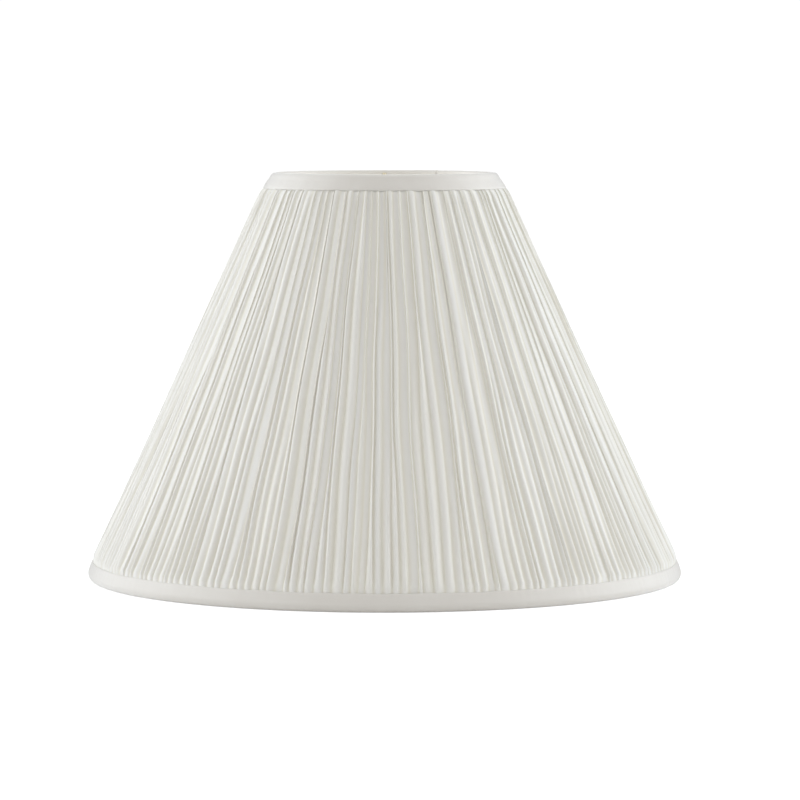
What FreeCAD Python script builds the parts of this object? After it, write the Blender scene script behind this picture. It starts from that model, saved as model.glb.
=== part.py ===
import FreeCAD, Part
import math
import os

# An empire lamp shade: cloth pleated over a stiff conical liner, two wire rings, two folded
# trims, and a spider fitter that sits on a lamp's harp. The axis is Z. Z = 0 is the plane that
# the shade stands on, and the liner's seam is at the back, +Y. All lengths are millimetres.

# driving dimensions: the shade's trade size
TOP_DIAMETER = 152.4
BOTTOM_DIAMETER = 406.4
SLANT_HEIGHT = 304.8

# wire frame
RING_WIRE_DIAMETER = 3.0
ARM_WIRE_DIAMETER = 2.6
ARM_BEND_RADIUS = 4.0
ARM_AZIMUTHS = (90.0, 210.0, 330.0)
FITTER_RECESS = 12.7
WELD_DEPTH = 0.3

# washer that the harp's stud goes through
WASHER_DIAMETER = 28.6
WASHER_THICKNESS = 1.6
WASHER_HOLE_DIAMETER = 11.12
ARM_INNER_END = 9.5

# sheet goods
LINER_THICKNESS = 0.4
LINER_EDGE_SETBACK = 1.2
SEAM_GAP = 0.3
SEAM_TAPE_WIDTH = 12.0
SEAM_TAPE_THICKNESS = 0.15
TRIM_THICKNESS = 0.6
GLUE_GAP = 0.05
RIM_EASE = 0.1

# trims, with heights measured from the rim that each one covers
TOP_TRIM_EDGE = 10.7
BOTTOM_TRIM_EDGE = 12.0
BOTTOM_TRIM_WIDEST = 4.2
BOTTOM_TRIM_FOOT_INSET = 0.3
TOP_INNER_LEG_LANDING = 8.5
TOP_INNER_LEG_EDGE = 12.5
BOTTOM_INNER_LEG_LANDING = 7.5
BOTTOM_INNER_LEG_EDGE = 11.0
TRIM_BEND = 1.0
TRIM_SOFT_BEND = 3.0
TAPE_CLEARANCE = 1.5

# pleated cloth: how thick the stacked pleats are, where a trim presses them and where free
PLEATS_FREE = 3.3
PLEATS_UNDER_TOP_TRIM = 2.05
PLEATS_UNDER_BOTTOM_TRIM = 2.7
PLEATS_AT_RAW_EDGE = 0.7
TOP_RAW_EDGE = 4.6
BOTTOM_RAW_EDGE = 2.6

# worked out from the above
HEIGHT = math.sqrt(SLANT_HEIGHT**2 - ((BOTTOM_DIAMETER - TOP_DIAMETER) / 2) ** 2)
TAPER = (BOTTOM_DIAMETER - TOP_DIAMETER) / 2 / HEIGHT
COS_CONE = HEIGHT / SLANT_HEIGHT
RING_WIRE_RADIUS = RING_WIRE_DIAMETER / 2
ARM_WIRE_RADIUS = ARM_WIRE_DIAMETER / 2
SKIN = TRIM_THICKNESS + GLUE_GAP
RING_INSET = SKIN + RING_WIRE_RADIUS
BOTTOM_RING_Z = RING_INSET
TOP_RING_Z = HEIGHT - RING_INSET
WASHER_TOP_Z = HEIGHT - FITTER_RECESS
ARM_Z = WASHER_TOP_Z + ARM_WIRE_RADIUS - WELD_DEPTH


def cone_radius(z, outward):
    """Radius at height z of the cone that lies outward (normal to it) from the liner's outside."""
    liner_outside = BOTTOM_DIAMETER / 2 - SKIN - RIM_EASE - TAPER * z
    return liner_outside + outward / COS_CONE


def ring_radius(z):
    """Radius of a wire ring's centre line, with the wire against the liner's inside."""
    return cone_radius(z, -LINER_THICKNESS - GLUE_GAP - RING_WIRE_RADIUS)


def section_point(r, z):
    return FreeCAD.Vector(r, 0, z)


def revolve(face):
    return face.revolve(FreeCAD.Vector(0, 0, 0), FreeCAD.Vector(0, 0, 1), 360)


def polygon_face(corners):
    """Face in the XZ plane through (r, z) corners."""
    points = [section_point(r, z) for r, z in corners]
    return Part.Face(Part.makePolygon(points + points[:1]))


def rounded_edges(points, radii):
    """Straight runs through the points, with an arc of the given radius at each inner one."""
    edges = []
    start = points[0]
    for before, corner, after, radius in zip(points, points[1:], points[2:], radii):
        to_before = (before - corner).normalize()
        to_after = (after - corner).normalize()
        half_angle = to_before.getAngle(to_after) / 2
        reach = radius / math.tan(half_angle)
        towards_centre = (to_before + to_after).normalize()
        arc_start = corner + to_before * reach
        arc_middle = corner + towards_centre * (radius / math.sin(half_angle) - radius)
        arc_end = corner + to_after * reach
        edges.append(Part.makeLine(start, arc_start))
        edges.append(Part.Arc(arc_start, arc_middle, arc_end).toShape())
        start = arc_end
    edges.append(Part.makeLine(start, points[-1]))
    return edges


def shifted_path(points, distance):
    """The same path, moved sideways to its left as it is walked in the XZ plane."""
    def left_of(a, b):
        along = (b - a).normalize()
        return FreeCAD.Vector(-along.z, 0, along.x)

    lefts = [left_of(a, b) for a, b in zip(points, points[1:])]
    shifted = [points[0] + lefts[0] * distance]
    for corner, before, after in zip(points[1:], lefts, lefts[1:]):
        shifted.append(corner + (before + after) * (distance / (1 + before.dot(after))))
    shifted.append(points[-1] + lefts[-1] * distance)
    return shifted


def strip_face(path, bends, thickness):
    """Section of a folded strip: its middle line's (r, z) points, and its bend radii."""
    middle = [section_point(r, z) for r, z in path]
    half = thickness / 2
    left_radii = []
    right_radii = []
    for before, corner, after, bend in zip(middle, middle[1:], middle[2:], bends):
        turn = (corner - before).cross(after - corner).y
        side = -1 if turn > 0 else 1
        left_radii.append(bend - side * half)
        right_radii.append(bend + side * half)
    left = shifted_path(middle, half)
    right = shifted_path(middle, -half)
    edges = rounded_edges(left, left_radii)
    edges.append(Part.makeLine(left[-1], right[-1]))
    edges.extend(rounded_edges(right[::-1], right_radii[::-1]))
    edges.append(Part.makeLine(right[0], left[0]))
    return Part.Face(Part.Wire(edges))


def make_ring(z):
    return Part.makeTorus(ring_radius(z), RING_WIRE_RADIUS, FreeCAD.Vector(0, 0, z))


def arm_leg_radius():
    """Distance from the axis of the upright end of an arm, which is welded inside the ring."""
    return ring_radius(TOP_RING_Z) - RING_WIRE_RADIUS - ARM_WIRE_RADIUS + WELD_DEPTH


def make_arm(azimuth):
    """A wire that drops from the top ring, then bends and runs in over the washer."""
    leg = arm_leg_radius()
    path = [
        section_point(leg, TOP_RING_Z + WELD_DEPTH),
        section_point(leg, ARM_Z),
        section_point(ARM_INNER_END, ARM_Z),
    ]
    wire = Part.Wire(rounded_edges(path, [ARM_BEND_RADIUS]))
    circle = Part.makeCircle(ARM_WIRE_RADIUS, path[0], FreeCAD.Vector(0, 0, -1))
    arm = wire.makePipeShell([Part.Wire([circle])], True, True)
    arm.rotate(FreeCAD.Vector(0, 0, 0), FreeCAD.Vector(0, 0, 1), azimuth)
    return arm


def make_fitter_washer():
    base = FreeCAD.Vector(0, 0, WASHER_TOP_Z - WASHER_THICKNESS)
    disc = Part.makeCylinder(WASHER_DIAMETER / 2, WASHER_THICKNESS, base)
    hole = Part.makeCylinder(WASHER_HOLE_DIAMETER / 2, WASHER_THICKNESS, base)
    return disc.cut(hole)


def make_liner():
    """A conical sheet, rim to rim, whose two edges meet at the back with a hair's gap."""
    low = LINER_EDGE_SETBACK
    high = HEIGHT - LINER_EDGE_SETBACK
    section = polygon_face([
        (cone_radius(low, -LINER_THICKNESS), low),
        (cone_radius(low, 0), low),
        (cone_radius(high, 0), high),
        (cone_radius(high, -LINER_THICKNESS), high),
    ])
    seam = Part.makeBox(SEAM_GAP, BOTTOM_DIAMETER, HEIGHT, FreeCAD.Vector(-SEAM_GAP / 2, 0, 0))
    return revolve(section).cut(seam)


def make_liner_seam_tape():
    """A straight strip stuck over the liner's seam on the inside, between the two trims."""
    low = BOTTOM_INNER_LEG_EDGE + TAPE_CLEARANCE
    high = HEIGHT - TOP_INNER_LEG_EDGE - TAPE_CLEARANCE
    outside = -LINER_THICKNESS - GLUE_GAP
    inside = outside - SEAM_TAPE_THICKNESS
    section = polygon_face([
        (cone_radius(low, inside), low),
        (cone_radius(low, outside), low),
        (cone_radius(high, outside), high),
        (cone_radius(high, inside), high),
    ])
    corner = FreeCAD.Vector(-SEAM_TAPE_WIDTH / 2, 0, 0)
    width = Part.makeBox(SEAM_TAPE_WIDTH, BOTTOM_DIAMETER, HEIGHT, corner)
    return revolve(section).common(width)


def make_pleated_cover():
    """The pleated cloth as one closed shell: its outside is the tops of the pleats."""
    low = BOTTOM_RAW_EDGE
    high = HEIGHT - TOP_RAW_EDGE
    stations = [
        (low, PLEATS_AT_RAW_EDGE),
        (BOTTOM_TRIM_WIDEST, (PLEATS_AT_RAW_EDGE + PLEATS_UNDER_BOTTOM_TRIM) / 2),
        (BOTTOM_TRIM_EDGE, PLEATS_UNDER_BOTTOM_TRIM),
        (1.25 * BOTTOM_TRIM_EDGE, (PLEATS_UNDER_BOTTOM_TRIM + PLEATS_FREE) / 2),
        (2 * BOTTOM_TRIM_EDGE, PLEATS_FREE),
        (HEIGHT - 1.5 * TOP_TRIM_EDGE, PLEATS_FREE),
        (HEIGHT - 1.25 * TOP_TRIM_EDGE, (PLEATS_UNDER_TOP_TRIM + 3 * PLEATS_FREE) / 4),
        (HEIGHT - TOP_TRIM_EDGE, PLEATS_UNDER_TOP_TRIM),
        (high, PLEATS_AT_RAW_EDGE),
    ]
    outside = [(cone_radius(z, GLUE_GAP + depth), z) for z, depth in stations]
    inside = [(cone_radius(high, GLUE_GAP), high), (cone_radius(low, GLUE_GAP), low)]
    return revolve(polygon_face(outside + inside))


def trim_over_pleats(z, depth):
    """Radius of a trim's middle line where its edge lies on pleats of this depth."""
    return cone_radius(z, depth + 4 * GLUE_GAP + TRIM_THICKNESS / 2)


def trim_on_liner(z):
    """Radius of a trim's middle line where its inner leg lies on the liner's inside."""
    return cone_radius(z, -LINER_THICKNESS - GLUE_GAP - TRIM_THICKNESS / 2)


def make_top_trim():
    """Bias tape folded over the upper rim, slit where the three arms reach the ring."""
    half = TRIM_THICKNESS / 2
    around_ring = RING_WIRE_RADIUS + GLUE_GAP + half
    inner = ring_radius(TOP_RING_Z) - around_ring
    edge_z = HEIGHT - TOP_TRIM_EDGE
    landing_z = HEIGHT - TOP_INNER_LEG_LANDING
    inner_edge_z = HEIGHT - TOP_INNER_LEG_EDGE
    path = [
        (trim_over_pleats(edge_z, PLEATS_UNDER_TOP_TRIM), edge_z),
        (TOP_DIAMETER / 2 - half, HEIGHT - half),
        (inner, HEIGHT - half),
        (inner, TOP_RING_Z - TRIM_BEND),
        (trim_on_liner(landing_z), landing_z),
        (trim_on_liner(inner_edge_z), inner_edge_z),
    ]
    bends = [TRIM_BEND, around_ring, TRIM_BEND, TRIM_SOFT_BEND]
    trim = revolve(strip_face(path, bends, TRIM_THICKNESS))
    slit_top = TOP_RING_Z + 2 * WELD_DEPTH
    slit_radius = ARM_WIRE_RADIUS + WELD_DEPTH
    for azimuth in ARM_AZIMUTHS:
        slit = Part.makeCylinder(slit_radius, slit_top - ARM_Z, section_point(arm_leg_radius(), ARM_Z))
        slit.rotate(FreeCAD.Vector(0, 0, 0), FreeCAD.Vector(0, 0, 1), azimuth)
        trim = trim.cut(slit)
    return trim


def make_bottom_trim():
    """Bias tape folded under the lower rim, flat where the shade stands on it."""
    half = TRIM_THICKNESS / 2
    around_ring = RING_WIRE_RADIUS + GLUE_GAP + half
    inner = ring_radius(BOTTOM_RING_Z) - around_ring
    widest = BOTTOM_DIAMETER / 2 - half
    path = [
        (trim_over_pleats(BOTTOM_TRIM_EDGE, PLEATS_UNDER_BOTTOM_TRIM), BOTTOM_TRIM_EDGE),
        (widest, BOTTOM_TRIM_WIDEST),
        (widest - BOTTOM_TRIM_FOOT_INSET, half),
        (inner, half),
        (inner, BOTTOM_RING_Z + TRIM_BEND),
        (trim_on_liner(BOTTOM_INNER_LEG_LANDING), BOTTOM_INNER_LEG_LANDING),
        (trim_on_liner(BOTTOM_INNER_LEG_EDGE), BOTTOM_INNER_LEG_EDGE),
    ]
    bends = [TRIM_SOFT_BEND, TRIM_BEND, around_ring, TRIM_BEND, TRIM_SOFT_BEND]
    return revolve(strip_face(path, bends, TRIM_THICKNESS))


def save(node, shape):
    solids = shape.Solids
    if len(solids) != 1 or not shape.isValid():
        raise ValueError(node + " is not one valid solid")
    solids[0].exportStep("parts/" + node + ".step")
    print(node, "volume", round(solids[0].Volume, 1))


os.makedirs("parts", exist_ok=True)
save("top_ring", make_ring(TOP_RING_Z))
save("bottom_ring", make_ring(BOTTOM_RING_Z))
for number, azimuth in enumerate(ARM_AZIMUTHS, start=1):
    save("spider_arm_" + str(number), make_arm(azimuth))
save("fitter_washer", make_fitter_washer())
save("liner", make_liner())
save("liner_seam_tape", make_liner_seam_tape())
save("pleated_cover", make_pleated_cover())
save("top_trim", make_top_trim())
save("bottom_trim", make_bottom_trim())
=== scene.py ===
import math
from types import SimpleNamespace

import bpy
import numpy as np
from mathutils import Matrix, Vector


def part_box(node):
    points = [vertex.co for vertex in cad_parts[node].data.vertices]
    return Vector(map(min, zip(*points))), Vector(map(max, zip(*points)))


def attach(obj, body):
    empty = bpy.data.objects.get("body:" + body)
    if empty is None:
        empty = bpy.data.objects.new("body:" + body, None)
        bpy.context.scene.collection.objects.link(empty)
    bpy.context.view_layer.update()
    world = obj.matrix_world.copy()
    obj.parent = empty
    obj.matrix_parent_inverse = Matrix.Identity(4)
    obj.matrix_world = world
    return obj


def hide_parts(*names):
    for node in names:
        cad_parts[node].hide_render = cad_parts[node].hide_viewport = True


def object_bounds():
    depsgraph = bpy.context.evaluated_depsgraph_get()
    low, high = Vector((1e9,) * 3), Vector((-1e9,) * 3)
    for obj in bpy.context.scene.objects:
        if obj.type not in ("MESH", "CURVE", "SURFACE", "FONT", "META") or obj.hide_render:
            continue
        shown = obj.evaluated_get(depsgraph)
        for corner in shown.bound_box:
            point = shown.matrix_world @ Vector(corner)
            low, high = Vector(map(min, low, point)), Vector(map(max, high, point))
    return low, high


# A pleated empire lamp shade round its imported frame. Metres, +Z up, and the back is +Y.
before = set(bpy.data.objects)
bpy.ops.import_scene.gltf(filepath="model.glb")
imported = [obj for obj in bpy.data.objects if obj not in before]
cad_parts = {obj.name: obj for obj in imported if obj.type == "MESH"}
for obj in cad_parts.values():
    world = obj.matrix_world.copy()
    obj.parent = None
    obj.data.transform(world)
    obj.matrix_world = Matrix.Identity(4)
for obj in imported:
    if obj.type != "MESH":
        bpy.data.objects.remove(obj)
cad_low, cad_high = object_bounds()

MM = 0.001
TURN = 2 * math.pi
BODY = "root"
ARMS = ("spider_arm_1", "spider_arm_2", "spider_arm_3")

# camera: it stands well back in front of the shade, a little above the upper rim
CAMERA_DISTANCE = 2.85
CAMERA_HEIGHT = 0.335
CAMERA_AIM = Vector((0.0105, 0, 0.1212))
CAMERA_LENS = 187.7
SENSOR_WIDTH = 36.0

# the white surround: its strength everywhere, what is added at the left and right and behind,
# and what the camera sees of it
SURROUND_COLOR = (1, 0.995, 0.975, 1)
SURROUND_LIGHT = 0.44
SURROUND_SIDES = 1.0
SURROUND_BEHIND = -0.32
SURROUND_SEEN = 1.05

# two softboxes, this one and its mirror image, and a faint light inside the shade
SOFTBOX_PLACE = (2.35, 0.65, 1.1)
SOFTBOX_AIM = (0, 0, 0.14)
SOFTBOX_SIZE = (2.1, 2.3)
SOFTBOX_POWER = 36
SOFTBOX_COLOR = (0.85, 0.92, 1.0)
FILL_PLACE = (0, 0, 0.12)
FILL_RADIUS = 0.05
FILL_POWER = 0.33

# floor: its glow is for the camera's eye, so that it meets the surround without a line
FLOOR_SIZE = 24
FLOOR_GAP = 0.2 * MM
FLOOR_COLOR = (0.8, 0.8, 0.8, 1)
FLOOR_GLOW = 0.01
FLOOR_GLOW_SEEN = 0.6

# colours, as the two ends that each piece varies between
CREST_CREAM, CREST_WHITE = (0.895, 0.875, 0.822), (0.885, 0.872, 0.84)
# painted shade: the darker, warmer colour that the cloth is mixed towards deep in the pleat valleys
VALLEY_PAINTED_SHADE = (0.87, 0.835, 0.72)
CLOTH_DULL = (0.70, 0.68, 0.62)
BIAS_TAPE = (0.785, 0.752, 0.705), (0.805, 0.775, 0.73)
STYRENE = (0.86, 0.86, 0.83), (0.82, 0.815, 0.775)
SEAM_TAPE = (0.82, 0.80, 0.72), (0.77, 0.745, 0.65)
ZINC = (0.62, 0.63, 0.65), (0.45, 0.45, 0.46)
BRASS = (0.86, 0.79, 0.62), (0.80, 0.73, 0.57)
CLOTH_THREAD = 0.34 * MM
TAPE_THREAD = 0.32 * MM

# pleated cloth. Its flat size is that of the layer that shows, unfolded: its widest row, which
# lies just above the bottom trim, by the covered slant
PLEAT_COUNT = 232
POINTS_PER_PLEAT = 12
FREE_LEVELS = 20
CLOTH_FLAT = (1.65, 0.297)
PRESSED_REACH = 14 * MM
COVER_SEED = 16
FOLD_AWAY_SPAN = 0.32

# how far the pleats puff out beside each trim, over what height, and how soon it fades
BOTTOM_PUFF, BOTTOM_PUFF_RISE, BOTTOM_PUFF_FADE = 1.5 * MM, 5 * MM, 26 * MM
TOP_PUFF, TOP_PUFF_FADE = 0.45 * MM, 5 * MM

# trims: folded tape whose lap lies beside the back arm, and is slit where an arm passes
TRIM_THICKNESS = 0.6 * MM
TRIM_LAP = 14 * MM
TRIM_LAP_RISE = 0.35 * MM
TRIM_START = math.radians(25)
SLIT_REACH = 3 * MM
SLIT_STEPS = 19
SLIT_HALF_WIDTH = 2.2 * MM
CLOSEST_STEPS = 0.12 * MM
PUCKERS, PUCKER_SIZE = 14, 0.012 * MM
IMPRINT_WAVES, IMPRINT_SIZE = (149, 187, 209, 233), 0.02 * MM

# the cloth coordinates of each face on a trim's cut ends, which no weave lines up with
UNIT_SQUARE = ((0, 0), (1, 0), (1, 1), (0, 1))


# ---------------------------------------------------------------- camera, floor and light


def make_camera():
    data = bpy.data.cameras.new("camera")
    data.lens = CAMERA_LENS
    data.sensor_width = SENSOR_WIDTH
    camera = bpy.data.objects.new("camera", data)
    camera.location = (0, -CAMERA_DISTANCE, CAMERA_HEIGHT)
    camera.rotation_mode = "QUATERNION"
    camera.rotation_quaternion = (CAMERA_AIM - camera.location).to_track_quat("-Z", "Y")
    bpy.context.scene.collection.objects.link(camera)
    bpy.context.scene.camera = camera


def link_light(name, kind, place, power):
    data = bpy.data.lights.new(name, kind)
    data.energy = power
    light = bpy.data.objects.new(name, data)
    light.location = place
    bpy.context.scene.collection.objects.link(light)
    return light


def add_softbox(name, place):
    light = link_light(name, "AREA", place, SOFTBOX_POWER)
    light.data.color = SOFTBOX_COLOR
    light.data.shape = "RECTANGLE"
    light.data.size, light.data.size_y = SOFTBOX_SIZE
    light.rotation_mode = "QUATERNION"
    light.rotation_quaternion = (Vector(SOFTBOX_AIM) - light.location).to_track_quat("-Z", "Y")


def make_surround():
    """White surround, brighter to the left and right, and dimmer behind the shade."""
    scene = bpy.context.scene
    scene.view_settings.view_transform = "Standard"
    scene.view_settings.look = "None"
    world = bpy.data.worlds.new("studio")
    scene.world = world
    world.use_nodes = True
    nodes, links = world.node_tree.nodes, world.node_tree.links
    split = nodes.new("ShaderNodeSeparateXYZ")
    links.new(nodes.new("ShaderNodeTexCoord").outputs["Generated"], split.inputs["Vector"])
    sideways = math_node(nodes, links, "MULTIPLY", split.outputs["X"], split.outputs["X"])
    level = math_node(nodes, links, "MULTIPLY_ADD", sideways, SURROUND_SIDES, SURROUND_LIGHT)
    behind = math_node(nodes, links, "MAXIMUM", split.outputs["Y"], 0.0)
    lighting = nodes["Background"]
    lighting.inputs["Color"].default_value = SURROUND_COLOR
    strength = math_node(nodes, links, "MULTIPLY_ADD", behind, SURROUND_BEHIND, level)
    links.new(strength, lighting.inputs["Strength"])
    seen = nodes.new("ShaderNodeBackground")
    seen.inputs["Color"].default_value = (1, 1, 1, 1)
    seen.inputs["Strength"].default_value = SURROUND_SEEN
    path = nodes.new("ShaderNodeLightPath")
    mix = nodes.new("ShaderNodeMixShader")
    links.new(path.outputs["Is Camera Ray"], mix.inputs["Fac"])
    links.new(lighting.outputs["Background"], mix.inputs[1])
    links.new(seen.outputs["Background"], mix.inputs[2])
    links.new(mix.outputs["Shader"], nodes["World Output"].inputs["Surface"])


def make_studio():
    make_surround()
    x, y, z = SOFTBOX_PLACE
    add_softbox("softbox_left", (-x, y, z))
    add_softbox("softbox_right", (x, y, z))
    add_inner_fill()


def add_inner_fill():
    """A faint light inside, for the daylight that a real shade's thin sides let through."""
    light = link_light("light_through_sides", "POINT", FILL_PLACE, FILL_POWER)
    light.data.shadow_soft_size = FILL_RADIUS
    light.visible_camera = False


def make_floor():
    bpy.ops.mesh.primitive_plane_add(size=FLOOR_SIZE, location=(0, 0, cad_low.z - FLOOR_GAP))
    floor = bpy.context.object
    floor.name = "floor"
    material, nodes, links, surface = new_material("floor_white")
    surface.inputs["Base Color"].default_value = FLOOR_COLOR
    surface.inputs["Roughness"].default_value = 0.9
    surface.inputs["Emission Color"].default_value = (1, 1, 1, 1)
    path = nodes.new("ShaderNodeLightPath")
    camera_ray = path.outputs["Is Camera Ray"]
    glow = math_node(nodes, links, "MULTIPLY_ADD", camera_ray, FLOOR_GLOW_SEEN, FLOOR_GLOW)
    links.new(glow, surface.inputs["Emission Strength"])
    floor.data.materials.append(material)


# ---------------------------------------------------------------- material helpers


def new_material(name):
    material = bpy.data.materials.new(name)
    material.use_nodes = True
    nodes, links = material.node_tree.nodes, material.node_tree.links
    return material, nodes, links, nodes["Principled BSDF"]


def math_node(nodes, links, operation, *values):
    """A math node whose inputs are numbers or sockets. Returns its output."""
    node = nodes.new("ShaderNodeMath")
    node.operation = operation
    for socket, value in zip(node.inputs, values):
        if isinstance(value, (int, float)):
            socket.default_value = value
        else:
            links.new(value, socket)
    return node.outputs[0]


def mix_colors(nodes, links, amount, first, second):
    """Mixes two colours, each a tuple or a socket, by a number or socket."""
    node = nodes.new("ShaderNodeMix")
    node.data_type = "RGBA"
    sockets = (node.inputs[0], node.inputs[6], node.inputs[7])
    for socket, value in zip(sockets, (amount, first, second)):
        if isinstance(value, tuple):
            socket.default_value = (*value, 1)
        elif isinstance(value, (int, float)):
            socket.default_value = value
        else:
            links.new(value, socket)
    return node.outputs[2]


def noise(nodes, links, vector, scale=1.0, detail=2.0):
    node = nodes.new("ShaderNodeTexNoise")
    node.inputs["Scale"].default_value = scale
    node.inputs["Detail"].default_value = detail
    links.new(vector, node.inputs["Vector"])
    return node.outputs["Fac"]


def ramp(nodes, links, value, low, high, to_low=0.0, to_high=1.0):
    """Maps low to high onto to_low to to_high, and clamps."""
    node = nodes.new("ShaderNodeMapRange")
    node.inputs["From Min"].default_value = low
    node.inputs["From Max"].default_value = high
    node.inputs["To Min"].default_value = to_low
    node.inputs["To Max"].default_value = to_high
    links.new(value, node.inputs["Value"])
    return node.outputs["Result"]


def object_coordinates(nodes, links, scale=(1, 1, 1)):
    coordinates = nodes.new("ShaderNodeTexCoord")
    mapping = nodes.new("ShaderNodeMapping")
    mapping.inputs["Scale"].default_value = scale
    links.new(coordinates.outputs["Object"], mapping.inputs["Vector"])
    return mapping.outputs["Vector"]


def cloth_coordinates(nodes, links, scale=(1, 1, 1), turn=0.0):
    """Coordinates in the flat cloth, in metres: across the pleats, and along them."""
    source = nodes.new("ShaderNodeUVMap")
    source.uv_map = "cloth"
    mapping = nodes.new("ShaderNodeMapping")
    mapping.inputs["Scale"].default_value = scale
    mapping.inputs["Rotation"].default_value = (0, 0, turn)
    links.new(source.outputs["UV"], mapping.inputs["Vector"])
    return mapping.outputs["Vector"]


def attribute(nodes, name):
    node = nodes.new("ShaderNodeAttribute")
    node.attribute_name = name
    return node.outputs["Fac"]


def bump(nodes, links, surface, layers):
    """Stacks bump layers, each (height socket, strength, depth in metres), on a surface."""
    normal = None
    for height, strength, depth in layers:
        node = nodes.new("ShaderNodeBump")
        node.inputs["Strength"].default_value = strength
        node.inputs["Distance"].default_value = depth
        links.new(height, node.inputs["Height"])
        if normal is not None:
            links.new(normal, node.inputs["Normal"])
        normal = node.outputs["Normal"]
    links.new(normal, surface.inputs["Normal"])


def plain_weave(nodes, links, vector, pitch):
    """Height of a plain weave of threads that cross every pitch metres."""
    split = nodes.new("ShaderNodeSeparateXYZ")
    links.new(vector, split.inputs["Vector"])
    waves = []
    for axis in ("X", "Y"):
        scaled = math_node(nodes, links, "MULTIPLY", split.outputs[axis], math.pi / pitch)
        waves.append(math_node(nodes, links, "SINE", scaled))
    return math_node(nodes, links, "MULTIPLY", waves[0], waves[1])


# ---------------------------------------------------------------- materials


def cloth_material():
    """Off-white cotton broadcloth: fine weave, slubs, and painted shade, darker and warmer, in the
    valleys between pleats.
    """
    material, nodes, links, surface = new_material("pleated_cotton")
    slubs = noise(nodes, links, cloth_coordinates(nodes, links, (700, 24, 1)), detail=3.0)
    mottle = noise(nodes, links, object_coordinates(nodes, links), 22.0)
    color = mix_colors(nodes, links, attribute(nodes, "tone"), CREST_CREAM, CREST_WHITE)
    # painted shade: the deeper a point lies in a valley, the more of the darker, warmer valley
    # colour
    deep = math_node(nodes, links, "POWER", attribute(nodes, "valley"), 1.6)
    deep = math_node(nodes, links, "MULTIPLY", deep, 0.75)
    color = mix_colors(nodes, links, deep, color, VALLEY_PAINTED_SHADE)
    faint = ramp(nodes, links, mottle, 0.3, 0.7, 0.0, 0.06)
    color = mix_colors(nodes, links, faint, color, CLOTH_DULL)
    links.new(color, surface.inputs["Base Color"])
    links.new(ramp(nodes, links, slubs, 0.25, 0.75, 0.68, 0.86), surface.inputs["Roughness"])
    surface.inputs["Specular IOR Level"].default_value = 0.3
    surface.inputs["Sheen Weight"].default_value = 1.0
    surface.inputs["Sheen Roughness"].default_value = 0.5
    weave = plain_weave(nodes, links, cloth_coordinates(nodes, links), CLOTH_THREAD)
    bump(nodes, links, surface, [(slubs, 0.35, 0.22 * MM), (weave, 0.25, 0.04 * MM)])
    return material


def trim_material():
    """Cotton bias tape: the same cloth with its weave on the slant, and a soft satin finish."""
    material, nodes, links, surface = new_material("bias_tape")
    mottle = noise(nodes, links, object_coordinates(nodes, links), 38.0, 3.0)
    threads = noise(nodes, links, cloth_coordinates(nodes, links, (900, 900, 1)))
    color = mix_colors(nodes, links, ramp(nodes, links, mottle, 0.3, 0.7), *BIAS_TAPE)
    links.new(color, surface.inputs["Base Color"])
    links.new(ramp(nodes, links, threads, 0.25, 0.75, 0.5, 0.68), surface.inputs["Roughness"])
    surface.inputs["Specular IOR Level"].default_value = 0.4
    surface.inputs["Sheen Weight"].default_value = 0.8
    surface.inputs["Sheen Roughness"].default_value = 0.45
    slanted = cloth_coordinates(nodes, links, turn=math.pi / 4)
    weave = plain_weave(nodes, links, slanted, TAPE_THREAD)
    layers = [(mottle, 0.15, 0.4 * MM), (threads, 0.2, 0.08 * MM), (weave, 0.3, 0.05 * MM)]
    bump(nodes, links, surface, layers)
    return material


def styrene_material():
    """White styrene sheet with a faint orange-peel skin and a few scuffs."""
    material, nodes, links, surface = new_material("white_styrene")
    place = object_coordinates(nodes, links)
    clouds = noise(nodes, links, place, 9.0)
    peel = noise(nodes, links, place, 900.0)
    scuffs = noise(nodes, links, object_coordinates(nodes, links, (60, 60, 8)), detail=4.0)
    color = mix_colors(nodes, links, ramp(nodes, links, clouds, 0.3, 0.7), *STYRENE)
    links.new(color, surface.inputs["Base Color"])
    links.new(ramp(nodes, links, scuffs, 0.35, 0.75, 0.38, 0.6), surface.inputs["Roughness"])
    bump(nodes, links, surface, [(peel, 0.12, 0.05 * MM)])
    return material


def tape_material():
    """Thin plastic seam tape with small wrinkles along it."""
    material, nodes, links, surface = new_material("seam_tape")
    wrinkles = noise(nodes, links, object_coordinates(nodes, links, (300, 300, 30)), detail=3.0)
    color = mix_colors(nodes, links, ramp(nodes, links, wrinkles, 0.35, 0.65), *SEAM_TAPE)
    links.new(color, surface.inputs["Base Color"])
    links.new(ramp(nodes, links, wrinkles, 0.35, 0.65, 0.3, 0.45), surface.inputs["Roughness"])
    bump(nodes, links, surface, [(wrinkles, 0.4, 0.1 * MM)])
    return material


def metal_material(name, bright, dull, roughness):
    """Plated metal: fine drawn grain, and dull spots where the plating is thin."""
    material, nodes, links, surface = new_material(name)
    spots = noise(nodes, links, object_coordinates(nodes, links), 260.0, 3.0)
    grain = noise(nodes, links, object_coordinates(nodes, links, (1500, 1500, 1500)))
    worn = ramp(nodes, links, spots, 0.45, 0.7)
    links.new(mix_colors(nodes, links, worn, bright, dull), surface.inputs["Base Color"])
    surface.inputs["Metallic"].default_value = 1.0
    rough = ramp(nodes, links, spots, 0.3, 0.7, roughness, roughness + 0.2)
    links.new(rough, surface.inputs["Roughness"])
    bump(nodes, links, surface, [(grain, 0.15, 0.03 * MM)])
    return material


# ---------------------------------------------------------------- shapes read from the frame


def outside_profile(node):
    """Heights of the circles on a CAD node turned about Z, and the largest radius at each."""
    corners = np.array([vertex.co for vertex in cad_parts[node].data.vertices])
    heights, radii = corners[:, 2], np.hypot(corners[:, 0], corners[:, 1])
    levels = np.unique(np.round(heights, 6))
    largest = [radii[np.abs(heights - level) < 2e-6].max() for level in levels]
    return levels, np.array(largest)


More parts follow.
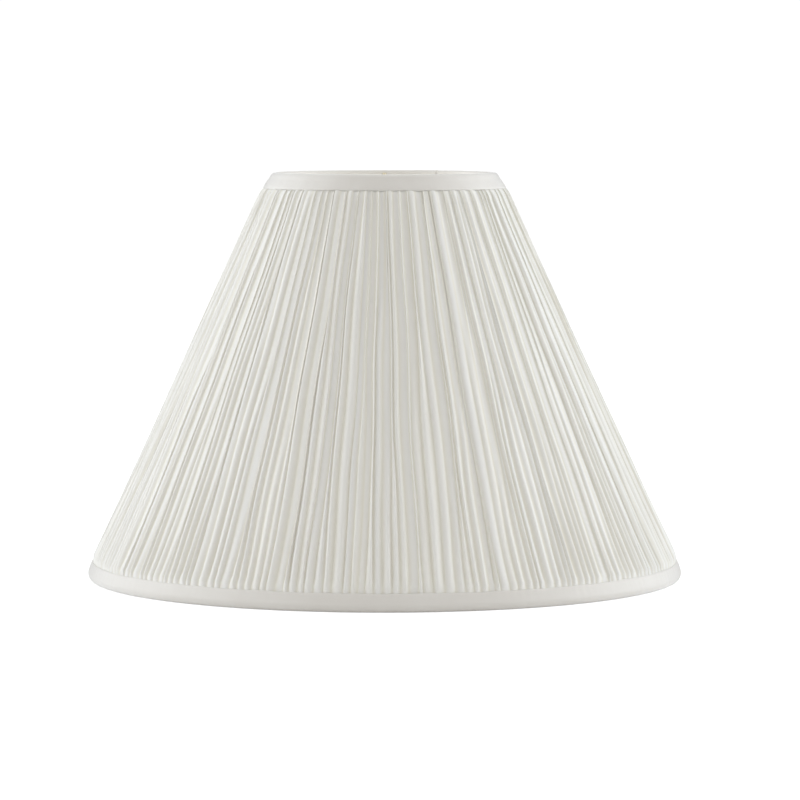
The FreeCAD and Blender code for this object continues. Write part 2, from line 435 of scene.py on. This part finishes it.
LINER_LEVELS, LINER_RADII = outside_profile("liner")
TAPER = (LINER_RADII[0] - LINER_RADII[-1]) / (LINER_LEVELS[-1] - LINER_LEVELS[0])
CONE_SLOPE = math.atan(TAPER)
LINER_THICKNESS = 0.4 * MM
GLUE_GAP = 0.05 * MM
CREST_CLEARANCE = 0.5 * MM


def liner_radius(z, outward=0.0):
    """Radius, at height z, of the cone that lies outward from the liner's outside."""
    return LINER_RADII[0] - TAPER * (z - LINER_LEVELS[0]) + outward / math.cos(CONE_SLOPE)


TOP_TRIM_EDGE = cad_high.z - 10.7 * MM
BOTTOM_TRIM_EDGE = cad_low.z + 12.0 * MM

# the cover's corners lie on its crests and in its valleys, and only the crests give its outside
COVER_LEVELS, COVER_RADII = outside_profile("pleated_cover")
CRESTS = COVER_RADII - liner_radius(COVER_LEVELS) > CREST_CLEARANCE
COVER_LEVELS, COVER_RADII = COVER_LEVELS[CRESTS], COVER_RADII[CRESTS]


def cover_radius(z):
    return np.interp(z, COVER_LEVELS, COVER_RADII)


def ring_line(node):
    """Radius and height of a wire ring's centre line, and the wire's radius."""
    low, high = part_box(node)
    wire = (high.z - low.z) / 2
    return high.x - wire, (high.z + low.z) / 2, wire


# ---------------------------------------------------------------- mesh helpers


def add_mesh(name, points, faces, corner_places):
    """A smooth mesh object, with cloth coordinates, in metres, for every corner of its faces."""
    mesh = bpy.data.meshes.new(name)
    mesh.from_pydata(points, [], faces)
    mesh.polygons.foreach_set("use_smooth", np.ones(len(faces), bool))
    layer = mesh.uv_layers.new(name="cloth")
    layer.data.foreach_set("uv", corner_places.ravel())
    mesh.update()
    piece = bpy.data.objects.new(name, mesh)
    bpy.context.scene.collection.objects.link(piece)
    return piece


def grid_faces(rows, columns, across, along):
    """Faces of a grid of points that closes on itself across, and each corner's cloth place."""
    row, column = np.meshgrid(np.arange(rows - 1), np.arange(columns), indexing="ij")
    beyond = (column + 1) % columns
    start, ahead = row * columns, (row + 1) * columns
    faces = np.stack([start + column, start + beyond, ahead + beyond, ahead + column], axis=-1)
    u = np.stack([across[column], across[column + 1], across[column + 1], across[column]], axis=-1)
    v = np.stack([along[row], along[row], along[row + 1], along[row + 1]], axis=-1)
    return faces.reshape(-1, 4), np.stack([u, v], axis=-1).reshape(-1, 4, 2)


def smooth_step(x):
    x = np.clip(x, 0, 1)
    return x * x * (3 - 2 * x)


def wobble(rng, count, t, waves, size):
    """Smooth random curves along t, one per row, of about that root-mean-square size."""
    total = np.zeros((count, len(t)))
    for wave in waves:
        phase = rng.uniform(0, TURN, (count, 1))
        strength = rng.normal(0, 1, (count, 1))
        total += strength * np.sin(TURN * wave * t + phase)
    return size * math.sqrt(2 / len(waves)) * total


# ---------------------------------------------------------------- pleated cloth


def pleat_levels():
    """Heights of the rows of the pleated mesh, close together where a trim's edge presses it."""
    low, high = COVER_LEVELS[0], COVER_LEVELS[-1]
    below = BOTTOM_TRIM_EDGE + MM * np.array([-6.2, -2.6, -0.5, 0.4, 1.6, 4.0])
    above = TOP_TRIM_EDGE + MM * np.array([-4.4, -2.2, -0.9, -0.3, 0.5, 2.2, 4.2])
    free = np.linspace(below[-1] + 4 * MM, above[0] - 4 * MM, FREE_LEVELS)
    return np.concatenate([[low], below, free, above, [high]])


def pleat_depth(z):
    """How far the tallest pleats stand off the liner: pressed by the trims, fuller beside them."""
    stand = (cover_radius(z) - liner_radius(z, GLUE_GAP)) * math.cos(CONE_SLOPE)
    above = z - BOTTOM_TRIM_EDGE
    puff = BOTTOM_PUFF * smooth_step(above / BOTTOM_PUFF_RISE) * np.exp(-above / BOTTOM_PUFF_FADE)
    below = TOP_TRIM_EDGE - z
    puff += TOP_PUFF * smooth_step(below / MM + 0.5) * np.exp(-below / TOP_PUFF_FADE)
    return stand + puff


def emergence(rng):
    """Level, 0 to 1, above which each pleat is folded away: two of every four, spread in height."""
    levels = np.full(PLEAT_COUNT, 2.0)
    hidden = []
    for start in range(0, PLEAT_COUNT, 4):
        hidden.extend(start + rng.permutation(4)[:2])
    golden = (math.sqrt(5) - 1) / 2
    for turn, pleat in enumerate(sorted(hidden)):
        levels[pleat] = (1 - (turn * golden) % 1) ** 1.3
    return levels


def pleat_edges(rng, t, visible, radius):
    """Angle of each valley between pleats, at each level, kept from drifting off in crowds."""
    share = rng.lognormal(0, 0.15, (PLEAT_COUNT, 1)) * (0.2 + 0.8 * visible)
    share *= 1 + wobble(rng, PLEAT_COUNT, t, (0.7, 1.6), 0.035)
    share /= share.sum(axis=0)
    edges = TURN * np.cumsum(share, axis=0)
    drift = edges - edges.mean(axis=1, keepdims=True)
    reach = 9
    neighbours = np.concatenate([drift[-reach:], drift, drift[:reach]])
    window = np.ones(2 * reach + 1) / (2 * reach + 1)
    edges -= np.stack([np.convolve(column, window, "valid") for column in neighbours.T], axis=1)
    edges += wobble(rng, PLEAT_COUNT, t, (1.0, 2.3, 4.1), 0.09 * MM) / radius
    return edges


def pressed_by_trims(z):
    """1 at and under a trim's edge, down to 0 on the free cloth."""
    above_bottom = smooth_step((z - BOTTOM_TRIM_EDGE) / PRESSED_REACH)
    return 1 - above_bottom * smooth_step((TOP_TRIM_EDGE - z) / PRESSED_REACH)


def draw_pleats(rng, t, visible, pressed, width):
    """Every pleat's own character, as arrays with a row for a pleat and a column for a level."""
    one_each = (PLEAT_COUNT, 1)
    tall = rng.uniform(0.84, 0.99, one_each)
    tall[rng.random(one_each) < 0.25] = 1.06
    height = tall * (0.6 + 0.4 * visible) * (1 + wobble(rng, PLEAT_COUNT, t, (0.8, 2.1, 3.7), 0.05))
    height = np.minimum(height, 1.12)
    height = height + (np.maximum(height, visible) - height) * pressed
    height = height + (1.0 - height) * pressed * (height > 1)
    lean = rng.normal(0, 0.3, one_each) + wobble(rng, PLEAT_COUNT, t, (0.6, 1.5), 0.08)
    fullness = rng.uniform(0.0, 0.06, one_each)
    sharpness = rng.normal(2.1, 0.5, one_each) - 0.6 * t - 0.05 * (width / MM - 5)
    sharpness = np.clip(sharpness, 1.1, 3.2)
    crest = np.clip(rng.normal(0.5, 0.1, one_each), 0.25, 0.75)
    valley = rng.uniform(0.36, 0.58, one_each) + 0.22 * t
    valley[rng.random(PLEAT_COUNT) < 0.2] *= 0.65
    return SimpleNamespace(
        height=height,
        lean=lean * (1 - 0.5 * pressed) * MM,
        fullness=fullness,
        sharpness=sharpness + (1.2 - sharpness) * 0.6 * pressed,
        crest=crest,
        valley=valley + (0.74 - valley) * pressed**2,
    )


def shape_pleats(rng, z):
    """Points, and how deep in a valley each lies, as grids of level, pleat and place across it."""
    t = (z - z[0]) / (z[-1] - z[0])
    floor = liner_radius(z, GLUE_GAP)
    depth = pleat_depth(z) / math.cos(CONE_SLOPE)
    visible = smooth_step((emergence(rng)[:, None] - t) / FOLD_AWAY_SPAN + 0.5)
    starts = pleat_edges(rng, t, visible, floor)
    ends = np.roll(starts, -1, axis=0)
    ends[-1] += TURN
    pleats = draw_pleats(rng, t, visible, pressed_by_trims(z), (ends - starts) * floor)
    grid = np.zeros((len(z), PLEAT_COUNT, POINTS_PER_PLEAT, 3))
    grid[..., 2] = z[:, None, None]
    valley = np.zeros(grid.shape[:3])
    for point in range(POINTS_PER_PLEAT):
        q = point / POINTS_PER_PLEAT
        rise = math.sin(math.pi * q) ** pleats.sharpness
        base = pleats.valley * (1 - q) + np.roll(pleats.valley, -1, axis=0) * q
        lift = base + (pleats.height - base) * rise
        share = 2 * pleats.crest * q if q < 0.5 else 1 - 2 * (1 - pleats.crest) * (1 - q)
        share = share - pleats.fullness * math.sin(TURN * q)
        angle = starts + (ends - starts) * share + pleats.lean * rise / floor
        radius = floor + depth * lift
        grid[:, :, point, 0] = (radius * np.sin(angle)).T
        grid[:, :, point, 1] = (radius * np.cos(angle)).T
        valley[:, :, point] = (1 - rise).T
    return grid, valley


def make_cover():
    """The cloth, pleat by pleat: valleys on the layers beneath, rounded and leaning crests."""
    rng = np.random.default_rng(COVER_SEED)
    z = pleat_levels()
    grid, valley = shape_pleats(rng, z)
    tone = np.repeat(rng.uniform(0, 1, PLEAT_COUNT), POINTS_PER_PLEAT)
    rows, columns = len(z), PLEAT_COUNT * POINTS_PER_PLEAT
    across = np.linspace(0, CLOTH_FLAT[0], columns + 1)
    along = (z - z[0]) / math.cos(CONE_SLOPE)
    # the columns run backwards, so that the faces look outward
    points = grid.reshape(rows, columns, 3)[:, ::-1].reshape(-1, 3)
    cover = add_mesh("pleated_cloth", points, *grid_faces(rows, columns, across, along))
    shading = {"valley": valley.reshape(rows, columns)[:, ::-1], "tone": np.tile(tone[::-1], rows)}
    for key, values in shading.items():
        store = cover.data.attributes.new(key, "FLOAT", "POINT")
        store.data.foreach_set("value", np.asarray(values, np.float32).ravel())
    cover.data.materials.append(cloth_material())
    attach(cover, BODY)
    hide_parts("pleated_cover")


# ---------------------------------------------------------------- folded trims


def smooth_path(corners, steps=5):
    """Catmull-Rom curve through (radius, height) corners."""
    corners = np.array(corners)
    padded = np.vstack([2 * corners[0] - corners[1], corners, 2 * corners[-1] - corners[-2]])
    curve = []
    for a, b, c, d in zip(padded, padded[1:], padded[2:], padded[3:]):
        for s in np.arange(steps) / steps:
            curve.append(
                0.5 * (2 * b + (c - a) * s + (2 * a - 5 * b + 4 * c - d) * s**2
                       + (3 * b - a - 3 * c + d) * s**3)
            )
    curve.append(corners[-1])
    return np.array(curve)


def thicken(path, inner_side):
    """The outer face of a strip laid on path, thinner at its two edges.

    Also the outward direction, and the length so far, at each of its points.
    """
    steps = np.diff(path, axis=0)
    lengths = np.concatenate([[0], np.cumsum(np.hypot(*steps.T))])
    tangent = np.gradient(path, lengths, axis=0)
    tangent /= np.linalg.norm(tangent, axis=1, keepdims=True)
    outward = inner_side * np.stack([tangent[:, 1], -tangent[:, 0]], axis=1)
    from_edge = np.minimum(lengths, lengths[-1] - lengths)
    round_off = np.sqrt(np.clip(1 - (1 - from_edge / (0.25 * MM)).clip(0, 1) ** 2, 0.08, 1))
    thickness = TRIM_THICKNESS * (0.7 + 0.3 * smooth_step(from_edge / (2 * MM))) * round_off
    return path + outward * thickness[:, None], outward, lengths


def trim_turns(girth, steps, notches):
    """Angles of a trim's sections, from the lap's start to its end, closer beside each slit."""
    lap = TRIM_LAP / girth
    first, last = TRIM_START - lap / 2, TRIM_START + TURN + lap / 2
    turn = TRIM_START + np.linspace(-lap / 2, TURN + lap / 2, steps)
    close_by = np.linspace(-SLIT_REACH, SLIT_REACH, SLIT_STEPS) / girth
    beside = [azimuth % TURN + whole + close_by for azimuth in notches for whole in (0, TURN)]
    turn = np.unique(np.round(np.concatenate([turn, *beside]), 6))
    turn = turn[(turn >= first - 1e-5) & (turn <= last + 1e-5)]
    return turn[np.diff(turn, prepend=-TURN) > CLOSEST_STEPS / girth]


def trim_unevenness(rng, turn, lengths):
    """Small puckers in the tape, and the print of the pleats beneath it, in metres."""
    puckers = np.zeros((len(turn), len(lengths)))
    for _ in range(PUCKERS):
        around = rng.uniform(14, 50)
        slope = rng.uniform(-1, 1) * 2
        phase = rng.uniform(0, TURN)
        puckers += np.sin(around * turn[:, None] + TURN * slope * lengths / lengths[-1] + phase)
    imprint = np.zeros(len(turn))
    for wave in IMPRINT_WAVES:
        imprint += np.sin(wave * turn + rng.uniform(0, TURN))
    return PUCKER_SIZE * puckers + IMPRINT_SIZE * imprint[:, None]


def slit_scale(turn, girth, notches):
    """How much of the inner leg each section keeps: nearly none where an arm passes."""
    scale = np.ones(len(turn))
    for azimuth in notches:
        off = np.abs((turn - azimuth + math.pi) % TURN - math.pi) * girth
        slit = smooth_step((SLIT_HALF_WIDTH - off) / (0.8 * MM))
        scale = np.minimum(scale, 1 - 0.94 * slit)
    return scale


def sweep_trim(rng, path, inner_side, turn, rim_z, notches, notch_from):
    """Radius and height of a trim's closed section at every turn, and the strip's lengths."""
    outer, outward, lengths = thicken(path, inner_side)
    girth = path[:, 0].max()
    lap = TRIM_LAP / girth
    over = smooth_step((turn - TRIM_START - (TURN - lap)) / (lap * 0.45))
    from_rim = np.abs(path[:, 1] - rim_z)
    on_leg = smooth_step(from_rim / (4 * MM))
    shift = (TRIM_LAP_RISE * over)[:, None] * (0.5 + 0.5 * on_leg)
    bulge = trim_unevenness(rng, turn, lengths) * on_leg
    scale = slit_scale(turn, girth, notches)
    past_notch = np.maximum(lengths - lengths[notch_from], 0)
    edge_wave = (0.1 * MM * np.sin(23 * turn + 1.3) + 0.08 * MM * np.sin(57 * turn))[:, None]
    sides = []
    for line, push in ((outer, shift + bulge), (path, shift)):
        radius = line[:, 0] + outward[:, 0] * push
        height = line[:, 1] + outward[:, 1] * push
        for row in np.nonzero(scale < 0.999)[0]:
            reach = lengths - past_notch * (1 - scale[row])
            radius[row] = np.interp(reach, lengths, radius[row])
            height[row] = np.interp(reach, lengths, height[row])
        height = height + edge_wave * (from_rim / from_rim.max())
        sides.append(np.stack([radius, height]))
    radius, height = np.concatenate([sides[0], sides[1][:, :, ::-1]], axis=2)
    return radius, np.clip(height, cad_low.z, None), lengths


def make_trim(name, node, path, inner_side, steps, seed, rim_z, notches=(), notch_from=0):
    """A folded tape carried round the rim, whose last stretch laps over its start.

    path is the (radius, height) line of the tape's inner face. notches are the azimuths where
    the leg inside the rim is slit, from the path's point notch_from on.
    """
    rng = np.random.default_rng(seed)
    girth = path[:, 0].max()
    turn = trim_turns(girth, steps, notches)
    radius, height, lengths = sweep_trim(rng, path, inner_side, turn, rim_z, notches, notch_from)
    angle = turn[:, None]
    points = np.stack([radius * np.sin(angle), radius * np.cos(angle), height], axis=-1)
    rows, columns = height.shape
    across = np.concatenate([lengths, 2 * lengths[-1] - lengths[::-1], [2 * lengths[-1]]])
    faces, places = grid_faces(rows, columns, across, turn * girth)
    caps = end_faces(rows, columns)
    faces = np.concatenate([faces, caps])
    places = np.concatenate([places, np.tile(UNIT_SQUARE, (len(caps), 1, 1))])
    trim = add_mesh(name, points[:, ::inner_side].reshape(-1, 3), faces, places)
    trim.data.materials.append(trim_material())
    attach(trim, BODY)
    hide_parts(node)


def end_faces(rows, columns):
    """Faces that cap the two cut ends of a swept strip, between its two sides."""
    near = np.arange(columns // 2 - 1)
    far = columns - 1 - near
    last = (rows - 1) * columns
    start_cap = np.stack([far, far - 1, near + 1, near], axis=-1)
    end_cap = last + np.stack([near, near + 1, far - 1, far], axis=-1)
    return np.stack([start_cap, end_cap], axis=1).reshape(-1, 4)


def over_pleats(z, extra=0.0):
    """Radius of a tape's inner face where it lies on the pleats."""
    return cover_radius(z) + extra / math.cos(CONE_SLOPE)


def on_liner(z):
    """Radius of a tape's inner face where it lies on the liner's inside."""
    return liner_radius(z, -LINER_THICKNESS - GLUE_GAP)


def make_bottom_trim():
    low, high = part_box("bottom_trim")
    ring, ring_z, wire = ring_line("bottom_ring")
    snug = 0.71 * (wire + GLUE_GAP)
    widest = high.x - TRIM_THICKNESS
    path = smooth_path([
        (over_pleats(BOTTOM_TRIM_EDGE), BOTTOM_TRIM_EDGE),
        (over_pleats(8.6 * MM, 0.15 * MM), 8.6 * MM),
        (widest, 4.8 * MM),
        (widest - 0.1 * MM, 2.6 * MM),
        (widest - 0.75 * MM, 1.15 * MM),
        (widest - 1.9 * MM, TRIM_THICKNESS),
        (ring - snug, ring_z - snug),
        (ring - wire - GLUE_GAP, ring_z),
        (ring - snug, ring_z + 1.1 * snug),
        (on_liner(6.5 * MM), 6.5 * MM),
        (on_liner(11.0 * MM), 11.0 * MM),
    ])
    make_trim(
        "bottom_bias_tape", "bottom_trim", path, inner_side=-1, steps=960, seed=5, rim_z=low.z,
    )


def arm_azimuth(node):
    """Angle from the back at which a spider arm meets the rim, by its box's farthest corner."""
    low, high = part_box(node)
    corners = [(x, y) for x in (low.x, high.x) for y in (low.y, high.y)]
    x, y = max(corners, key=lambda corner: math.hypot(*corner))
    return math.atan2(x, y) if abs(x) > 5 * MM else 0.0


def make_top_trim():
    low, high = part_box("top_trim")
    ring, ring_z, wire = ring_line("top_ring")
    snug = 0.71 * (wire + GLUE_GAP)
    rim = high.z - TRIM_THICKNESS
    path = smooth_path([
        (over_pleats(TOP_TRIM_EDGE), TOP_TRIM_EDGE),
        (over_pleats(high.z - 7.6 * MM, 0.2 * MM), high.z - 7.6 * MM),
        (over_pleats(high.z - 4.8 * MM, 0.1 * MM), high.z - 4.8 * MM),
        (liner_radius(high.z - 2.4 * MM, 0.45 * MM), high.z - 2.2 * MM),
        (ring + 1.35 * MM, rim - 0.25 * MM),
        (ring, rim),
        (ring - snug, ring_z + snug),
        (ring - wire - GLUE_GAP, ring_z),
        (ring - snug, ring_z - 1.1 * snug),
        (on_liner(high.z - 7.5 * MM), high.z - 7.5 * MM),
        (on_liner(high.z - 12.5 * MM), high.z - 12.5 * MM),
    ])
    arms = [arm_azimuth(node) for node in ARMS]
    inside_ring = np.hypot(path[:, 0] - ring + wire, path[:, 1] - ring_z - 0.8 * MM)
    make_trim(
        "top_bias_tape", "top_trim", path, inner_side=1, steps=520, seed=9, rim_z=high.z,
        notches=arms, notch_from=int(np.argmin(inside_ring)),
    )


# ---------------------------------------------------------------- pieces kept from the frame


def finish_node(node, material):
    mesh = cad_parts[node].data
    mesh.materials.clear()
    mesh.materials.append(material)


def dress_cad_nodes():
    finish_node("liner", styrene_material())
    finish_node("liner_seam_tape", tape_material())
    steel = metal_material("zinc_wire", *ZINC, 0.3)
    brass = metal_material("brass_plate", *BRASS, 0.28)
    for node in ("top_ring", "bottom_ring"):
        finish_node(node, steel)
    for node in (*ARMS, "fitter_washer"):
        finish_node(node, brass)


make_camera()
make_studio()
make_floor()
make_cover()
make_bottom_trim()
make_top_trim()
dress_cad_nodes()
